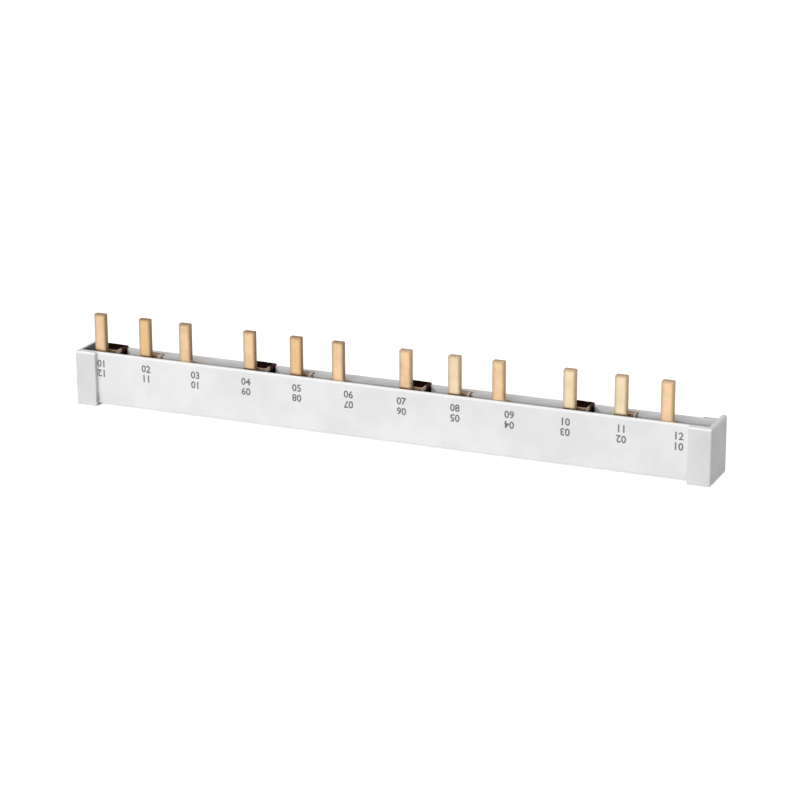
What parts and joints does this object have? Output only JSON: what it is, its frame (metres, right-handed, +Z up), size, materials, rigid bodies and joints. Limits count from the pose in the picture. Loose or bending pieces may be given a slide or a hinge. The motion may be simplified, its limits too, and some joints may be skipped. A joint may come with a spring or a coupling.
{
  "type": "comb busbar",
  "caption": "Three-phase comb busbar: flat copper pins standing in a row from a light-grey insulating channel with slip-on end caps.",
  "frame": {"origin": "middle of the underside of the box round the part, on the surface that it rests on", "axes": "+X along the row of pins from the first pin to the last, +Y to the rear, +Z up the pins"},
  "size_m": [0.252, 0.0186, 0.0359],
  "materials": {
    "channel_plastic": "light-grey moulded plastic, satin",
    "cap_plastic": "light-grey moulded plastic, satin",
    "copper": null
  },
  "bodies": {
    "root": {"housing": "channel_plastic", "cover_strip": "channel_plastic", "comb_phase_1": "copper", "comb_phase_2": "copper", "comb_phase_3": "copper", "end_cap_left": "cap_plastic", "end_cap_right": "cap_plastic"}
  },
  "joints": []
}
